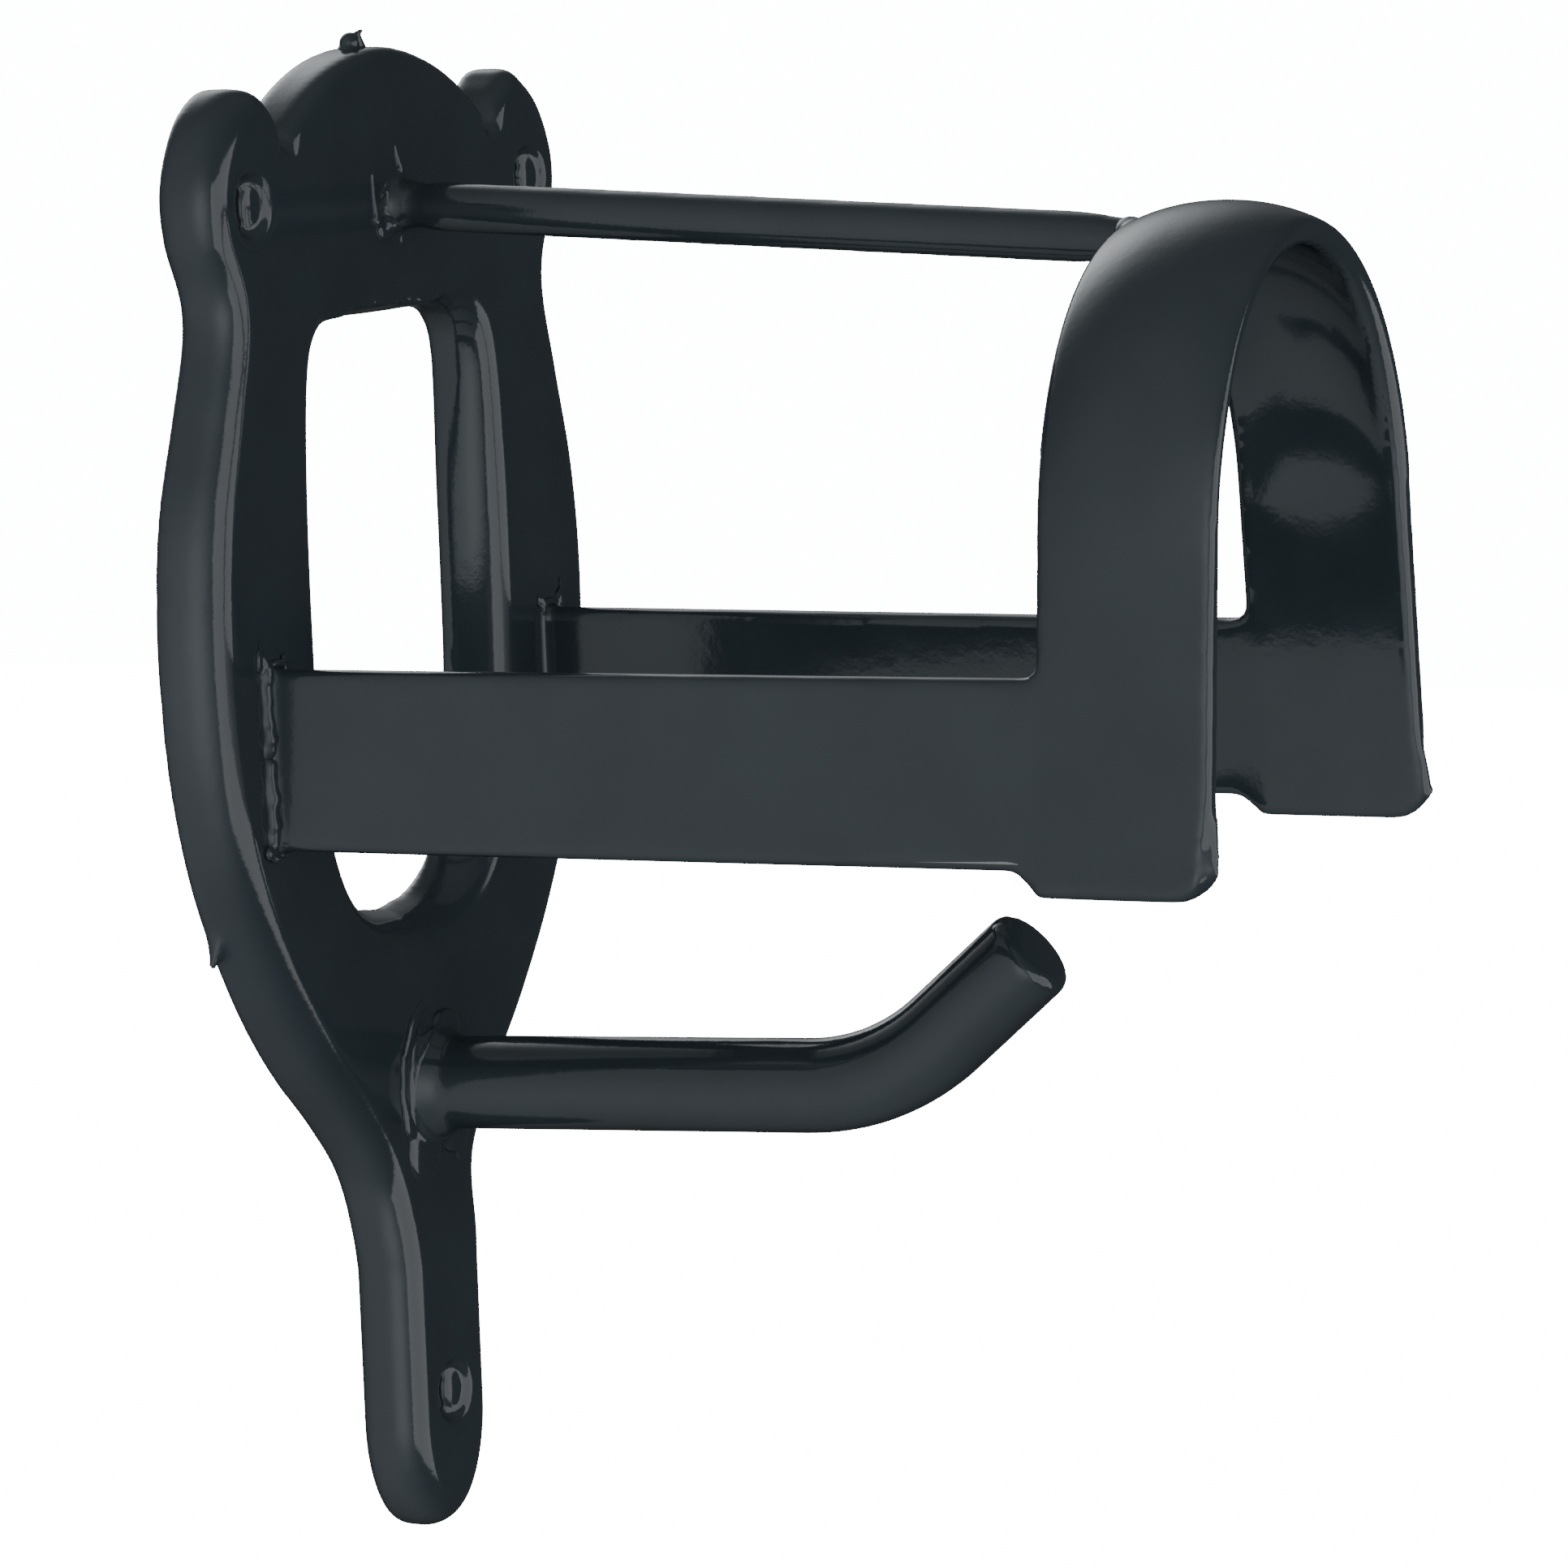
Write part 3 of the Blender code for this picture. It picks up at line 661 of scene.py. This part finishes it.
def part_skin(whole):
    """Parts the whole skin at the plate, and the bar's skin from the hoop's."""
    rest = copy_of(whole, "rest")
    for piece, behind in ((whole, True), (rest, False)):
        edit(piece)
        bpy.ops.mesh.select_all(action="SELECT")
        cut_off(PLATE_CUT, behind)
        leave()
    whole.name = "plate_skin"
    bar = copy_of(rest, "top_bar_skin")
    for piece, behind in ((rest, False), (bar, True)):
        edit(piece)
        pick(piece, "FACE", lambda face: abs(face.calc_center_median().x) < NEAR_BAR[0]
             and face.calc_center_median().z > NEAR_BAR[1])
        cut_off(BAR_CUT, behind)
        leave()
    keep_part(bar, lambda centre: abs(centre.x) < NEAR_BAR[0] and centre.z > 0)
    hook = copy_of(rest, "hook_skin")
    keep_part(hook, lambda centre: abs(centre.x) < NEAR_HOOK[0] and centre.z < NEAR_HOOK[1])
    keep_part(rest, lambda centre: abs(centre.x) >= NEAR_HOOK[0] or centre.z >= NEAR_HOOK[1])
    rest.name = "hoop_skin"
    return whole, rest, bar, hook


def keep_part(thing, test):
    """Keeps the faces whose centre passes the test."""
    edit(thing)
    pick(thing, "FACE", lambda face: not test(face.calc_center_median()))
    bpy.ops.mesh.delete(type="FACE")
    bpy.ops.mesh.select_mode(type="VERT")
    bpy.ops.mesh.select_all(action="SELECT")
    bpy.ops.mesh.delete_loose()
    leave()


# ---- weld beads and what the dip left on them ----------------------------------------------
def arm_weld(name, side, top, bottom, blobs):
    """A bumpy run of weld down an arm's outer face, with spatter at its ends."""
    draw = random.Random(name)
    x = side * (ARM_HALF / MM + 0.7)
    y = FRONT / MM - 0.4
    made = []
    z = top
    while z > bottom:
        size = draw.uniform(0.8, 1.15)
        made.append(lump((x + side * draw.uniform(-0.3, 0.2), y + draw.uniform(-0.2, 0.15), z),
                         (size, size, size * draw.uniform(1.2, 2.0))))
        z -= size * 0.95
    for place, size in blobs:
        made.append(lump((side * place[0], place[1], place[2]), size))
    made += chain([(x - side * 0.4, y + 0.5, top + 0.3), (x - side * 0.4, y + 0.5, bottom - 0.3)],
                  [(1.7, 0.8, 1.6)] * 2)
    return melted(name, made, 0.35 * MM, 8)


def arm_welds():
    upper_blobs = [
        ((48.4, -10.1, -49.9), (0.6, 0.5, 1.8)), ((46.9, -10.3, -50.3), (0.6, 0.6, 1.5)),
        ((47.7, -10.1, -47.9), (0.35, 0.3, 1.2)), ((43.4, -10.4, -50.6), (2.2, 0.8, 0.7)),
        ((41.3, -10.3, -51.2), (0.6, 0.6, 2.0)), ((40.3, -10.1, -50.2), (0.5, 0.4, 1.2))]
    lower_blobs = [
        ((48.2, -10.4, -78.2), (0.9, 0.8, 1.1)), ((46.6, -10.5, -79.2), (1.1, 0.8, 0.7)),
        ((49.4, -10.1, -74.6), (0.4, 0.3, 0.4)), ((43.6, -10.4, -78.9), (2.2, 0.8, 0.6))]
    made = {}
    for side, word in ((-1, "left"), (1, "right")):
        for part, top, bottom, blobs in (("upper", -51.6, -63.2, upper_blobs),
                                         ("lower", -65.6, -77.6, lower_blobs)):
            node = word + "_arm_weld_" + part
            made[node] = arm_weld(node + "_skin", side, top, bottom, blobs)
    return made


def bar_plate_weld():
    """Pooled vinyl over the bar's weld: a torn flap above, spatter and a bubble below."""
    made = chain([(-7.4, -9.9, 19.0), (-7.2, -9.9, 16.6), (-6.9, -10.0, 13.6)],
                 [(0.8, 0.35, 1.0), (0.9, 0.45, 1.0), (1.0, 0.6, 1.0)])
    made += chain([(-6.4, -9.9, 13.4), (-4.8, -10.0, 15.8), (-2.0, -10.1, 17.6),
                   (2.2, -10.1, 18.6)],
                  [(1.1, 0.5, 1.0), (1.0, 0.45, 1.0), (1.0, 0.45, 1.0), (1.2, 0.6, 1.1)])
    made += chain([(2.2, -10.1, 18.6), (1.0, -10.0, 20.6), (0.2, -9.8, 23.0)],
                  [(1.3, 0.6, 1.1), (1.2, 0.5, 1.2), (0.9, 0.35, 1.0)])
    made += chain([(2.2, -10.1, 18.6), (5.8, -10.1, 17.8), (9.8, -9.8, 17.4)],
                  [(1.2, 0.6, 1.0), (1.4, 0.45, 1.0), (1.0, 0.3, 0.8)])
    made += [lump((-6.6, -10.0, 12.4), (1.6, 0.8, 1.4)), lump((-4.6, -9.9, 10.8), (2.4, 0.8, 2.0)),
             lump((-2.0, -10.2, 11.6), (3.2, 1.5, 1.5)), lump((0.2, -10.0, 14.3), (5.0, 1.6, 4.4)),
             lump((3.4, -10.1, 12.2), (3.2, 0.9, 2.2)), lump((0.8, -9.9, 9.2), (1.0, 0.45, 1.3))]
    return melted("top_bar_plate_weld_skin", made, 0.3 * MM, 9)


def bar_hoop_weld():
    """The low fillet where the bar butts on the hoop's curled back edge."""
    x, y, z = BAR_END / MM
    made = [lump((x, y + 0.6, z + 0.2), (3.8, 2.6, 3.2)),
            lump((x, y - 1.0, z + 1.5), (5.0, 2.2, 1.6)),
            lump((x - 1.0, y + 1.4, z - 2.2), (1.6, 1.6, 0.9)),
            lump((x + 1.8, y + 0.4, z - 2.3), (1.8, 1.3, 0.8))]
    return melted("top_bar_hoop_weld_skin", made, 0.35 * MM, 8)


def hook_weld():
    """The hook's weld under thick vinyl: a ring, a rim that pooled round it, and runs."""
    made = []
    steps = 40
    for i in range(steps):
        angle = 2 * math.pi * i / steps
        swell = 1.0 + 0.12 * math.sin(3 * angle + 1.0)
        reach = HOOK_RADIUS / MM + 0.4
        height = HOOK_ROOT.z / MM + reach * math.sin(angle)
        made.append(lump((reach * math.cos(angle), -10.7, height),
                         (1.7 * swell, 1.4 * swell, 1.7 * swell)))
    made += chain([(-2.8, -9.9, -107.8), (-6.4, -10.1, -110.6), (-9.2, -10.1, -115.4),
                   (-9.8, -10.1, -121.0), (-8.8, -10.1, -126.0)],
                  [(1.3, 0.4, 1.4), (1.6, 0.5, 1.5), (1.6, 0.6, 1.6), (1.6, 0.6, 1.6),
                   (1.8, 0.6, 1.8)])
    made += [lump((-3.8, -9.7, -130.0), (5.6, 1.3, 6.0), (0, 14, 0)),
             lump((5.2, -10.1, -128.4), (4.6, 1.5, 3.8)),
             lump((7.4, -9.8, -131.2), (2.2, 0.9, 3.0)),
             lump((3.0, -10.2, -112.4), (5.0, 1.7, 3.2))]
    return melted("hook_weld_skin", made, 0.4 * MM, 12)


def nib():
    """The lump and the torn hook of vinyl that the hanging wire leaves on the dome."""
    top = DOME_TOP / MM - 4.0
    made = [lump((-2.6, -4.4, top + 4.6), (1.9, 1.6, 1.7)),
            lump((-2.9, -4.3, top + 3.4), (2.2, 1.8, 1.3)),
            lump((-1.6, -5.4, top + 3.2), (2.4, 2.2, 0.7))]
    made += chain([(-1.2, -5.6, top + 3.6), (-1.9, -5.7, top + 4.9), (-2.3, -5.5, top + 6.0),
                   (-1.9, -6.1, top + 6.5)],
                  [(1.0, 0.7, 0.8), (0.7, 0.5, 0.8), (0.5, 0.4, 0.5), (0.3, 0.35, 0.3)])
    return melted("hanger_nib_skin", made, 0.25 * MM, 3)


# ---- materials -----------------------------------------------------------------------------
def linear(code):
    """The linear colour of an sRGB hex value."""
    parts = [int(code[i:i + 2], 16) / 255 for i in (1, 3, 5)]
    return [p / 12.92 if p <= 0.04045 else ((p + 0.055) / 1.055) ** 2.4 for p in parts] + [1.0]


def add(tree, kind, settings=(), links=()):
    """Adds one node with its settings and its incoming links."""
    made = tree.nodes.new(kind)
    for key, value in dict(settings).items():
        if isinstance(key, int) or key in made.inputs:
            made.inputs[key].default_value = value
        else:
            setattr(made, key, value)
    for key, source in dict(links).items():
        tree.links.new(source, made.inputs[key])
    return made


def new_material(name):
    made = bpy.data.materials.new(name)
    made.use_nodes = True
    return made, made.node_tree, made.node_tree.nodes["Principled BSDF"]


def dipped_vinyl():
    """Black PVC plastisol, dipped and oven-cured: soft deep black under a satin skin."""
    made, tree, shader = new_material("dipped_black_plastisol")
    where = add(tree, "ShaderNodeTexCoord")
    broad = add(tree, "ShaderNodeTexNoise", {"Scale": 1 / (14 * MM), "Detail": 3.0},
                {"Vector": where.outputs["Object"]})
    peel = add(tree, "ShaderNodeTexNoise", {"Scale": 1 / (3.2 * MM), "Detail": 2.0},
               {"Vector": where.outputs["Object"]})
    grain = add(tree, "ShaderNodeTexNoise", {"Scale": 1 / (0.7 * MM), "Detail": 3.0},
                {"Vector": where.outputs["Object"]})
    tone = add(tree, "ShaderNodeMix", {"data_type": "RGBA"},
               {0: broad.outputs["Fac"]})
    tone.inputs[6].default_value = linear("#2b3237")
    tone.inputs[7].default_value = linear("#353e44")
    tree.links.new(tone.outputs[2], shader.inputs["Base Color"])
    rough = add(tree, "ShaderNodeMapRange", {"To Min": 0.08, "To Max": 0.15},
                {"Value": broad.outputs["Fac"]})
    tree.links.new(rough.outputs["Result"], shader.inputs["Roughness"])
    coarse = add(tree, "ShaderNodeBump", {"Strength": 0.16, "Distance": 0.2 * MM},
                 {"Height": peel.outputs["Fac"]})
    fine = add(tree, "ShaderNodeBump", {"Strength": 0.12, "Distance": 0.08 * MM},
               {"Height": grain.outputs["Fac"], "Normal": coarse.outputs["Normal"]})
    tree.links.new(fine.outputs["Normal"], shader.inputs["Normal"])
    shader.inputs["IOR"].default_value = 1.52
    return made


def mill_steel():
    """Cold-rolled mild steel sheet under the vinyl: grey, with faint rolling streaks."""
    made, tree, shader = new_material("cold_rolled_mild_steel")
    where = add(tree, "ShaderNodeTexCoord")
    drawn = add(tree, "ShaderNodeMapping", {"Scale": (1 / MM, 1 / MM, 1 / (18 * MM))},
                {"Vector": where.outputs["Object"]})
    streak = add(tree, "ShaderNodeTexNoise", {"Scale": 1.0, "Detail": 4.0},
                 {"Vector": drawn.outputs["Vector"]})
    tone = add(tree, "ShaderNodeMix", {"data_type": "RGBA"}, {0: streak.outputs["Fac"]})
    tone.inputs[6].default_value = linear("#8f9092")
    tone.inputs[7].default_value = linear("#adaeae")
    tree.links.new(tone.outputs[2], shader.inputs["Base Color"])
    rough = add(tree, "ShaderNodeMapRange", {"To Min": 0.35, "To Max": 0.55},
                {"Value": streak.outputs["Fac"]})
    tree.links.new(rough.outputs["Result"], shader.inputs["Roughness"])
    shader.inputs["Metallic"].default_value = 1.0
    return made


# ---- studio --------------------------------------------------------------------------------
CAMERA_VIEW = (-64.19, 7.15)             # azimuth and elevation it stands at, in degrees
CAMERA_ROLL = -2.07
CAMERA_PLACE = (-0.92669, -0.51953, 0.05638)
CAMERA_LENS = 159.84
WHITE = 16.0                             # what the eye sees behind the bracket
AMBIENT = 0.05
GLOWS = ((-114, 6, 0.52, 2.0),           # azimuth, elevation, strength, tightness:
         (142, 30, 2.8, 16.0),           # the white room behind, that the bar's top mirrors
         (-60, 70, 0.25, 2.0),
         (-55, -4, 1.2, 8.0),
         (-100, -55, 0.45, 2.0))         # the pale floor's light on the undersides


def toward(azimuth, elevation):
    """The way out from the bracket; azimuth 0 is straight in front, 90 to its right."""
    azimuth, elevation = math.radians(azimuth), math.radians(elevation)
    return Vector((math.sin(azimuth) * math.cos(elevation),
                   -math.cos(azimuth) * math.cos(elevation), math.sin(elevation)))


def add_camera():
    azimuth, roll = math.radians(CAMERA_VIEW[0]), math.radians(CAMERA_ROLL)
    back = toward(*CAMERA_VIEW)
    right = Vector((math.cos(azimuth), math.sin(azimuth), 0))
    up = back.cross(right)
    rolled_right = math.cos(roll) * right + math.sin(roll) * up
    rolled_up = math.cos(roll) * up - math.sin(roll) * right
    turn = Matrix((rolled_right, rolled_up, back)).transposed()
    camera = bpy.data.objects.new("camera", bpy.data.cameras.new("camera"))
    bpy.context.scene.collection.objects.link(camera)
    camera.matrix_world = Matrix.Translation(CAMERA_PLACE) @ turn.to_4x4()
    camera.data.lens = CAMERA_LENS
    camera.data.clip_start = 0.01
    bpy.context.scene.camera = camera


def add_front_box(target):
    """A soft box in front, a little to the right, that draws the strips on the bends."""
    away = toward(6, -5)
    data = bpy.data.lights.new("front_box", "AREA")
    data.shape = "RECTANGLE"
    data.size = 1.6
    data.size_y = 1.3
    data.energy = 10
    light = bpy.data.objects.new("front_box", data)
    bpy.context.scene.collection.objects.link(light)
    light.location = target + away * 1.3
    light.rotation_euler = away.to_track_quat("Z", "Y").to_euler()


def white_to_the_eye(tree, seen, lights):
    """Picks the bright value for the camera and the dimmer one for what it lights."""
    path = add(tree, "ShaderNodeLightPath")
    choice = add(tree, "ShaderNodeMix", {"data_type": "FLOAT"}, {0: path.outputs["Is Camera Ray"]})
    choice.inputs[3].default_value = seen
    if isinstance(lights, float):
        choice.inputs[2].default_value = lights
    else:
        tree.links.new(lights, choice.inputs[2])
    return choice.outputs[0]


def glow(tree, direction, azimuth, elevation, strength, tightness):
    """A soft patch of light in the surroundings, brightest in one direction."""
    facing = add(tree, "ShaderNodeVectorMath", {"operation": "DOT_PRODUCT"}, {0: direction})
    facing.inputs[1].default_value = toward(azimuth, elevation)
    value = facing.outputs["Value"]
    for operation, amount in (("MAXIMUM", 0.0), ("POWER", tightness), ("MULTIPLY", strength)):
        step = add(tree, "ShaderNodeMath", {"operation": operation, 1: amount}, {0: value})
        value = step.outputs[0]
    return value


def add_world():
    world = bpy.data.worlds.new("studio")
    bpy.context.scene.world = world
    world.use_nodes = True
    tree = world.node_tree
    background = tree.nodes["Background"]
    background.inputs["Color"].default_value = (0.93, 0.97, 1.0, 1)
    direction = add(tree, "ShaderNodeTexCoord").outputs["Generated"]
    level = add(tree, "ShaderNodeValue")
    level.outputs[0].default_value = AMBIENT
    total = level.outputs[0]
    for place in GLOWS:
        patch = glow(tree, direction, *place)
        total = add(tree, "ShaderNodeMath", {"operation": "ADD"},
                    {0: total, 1: patch}).outputs[0]
    tree.links.new(white_to_the_eye(tree, WHITE, total), background.inputs["Strength"])


def add_floor():
    bpy.ops.object.select_all(action="DESELECT")
    bpy.ops.mesh.primitive_plane_add(size=12, location=(0, 0, TAIL_TIP - 0.6))
    floor = added("floor")
    made, tree, shader = new_material("white_studio_floor")
    shader.inputs["Base Color"].default_value = linear("#c8c8c8")
    shader.inputs["Emission Color"].default_value = (1, 1, 1, 1)
    tree.links.new(white_to_the_eye(tree, WHITE, 0.0), shader.inputs["Emission Strength"])
    floor.data.materials.append(made)
    floor.visible_glossy = False
    floor.visible_diffuse = False


# ---- making it all -------------------------------------------------------------------------
def dress(piece, material, nodes):
    """Gives a finished piece its material and its body, and hides the nodes it stands for."""
    piece.data.materials.clear()
    piece.data.materials.append(material)
    only(piece)
    bpy.ops.object.shade_smooth_by_angle(angle=math.radians(55))
    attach(piece, "root")
    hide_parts(*nodes)


add_camera()
vinyl = dipped_vinyl()
steel = mill_steel()
plate, hoop, bar, hook = part_skin(whole_skin())
dress(plate, vinyl, ["plate_coat"])
dress(hoop, vinyl, ["hoop_coat"])
dress(bar, vinyl, ["top_bar_coat"])
dress(hook, vinyl, ["hook_coat"])
welds = arm_welds()
welds["top_bar_plate_weld"] = bar_plate_weld()
welds["top_bar_hoop_weld"] = bar_hoop_weld()
welds["hook_weld"] = hook_weld()
for node, weld in welds.items():
    dress(weld, vinyl, [node])
dress(nib(), vinyl, ["hanger_nib"])
for node in ("back_plate", "hoop_strap", "top_bar", "hook_rod"):
    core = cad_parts[node]
    core.data.materials.clear()
    core.data.materials.append(steel)
add_world()
add_floor()
add_front_box((Vector(CAD_BOX[0]) + Vector(CAD_BOX[1])) / 2)
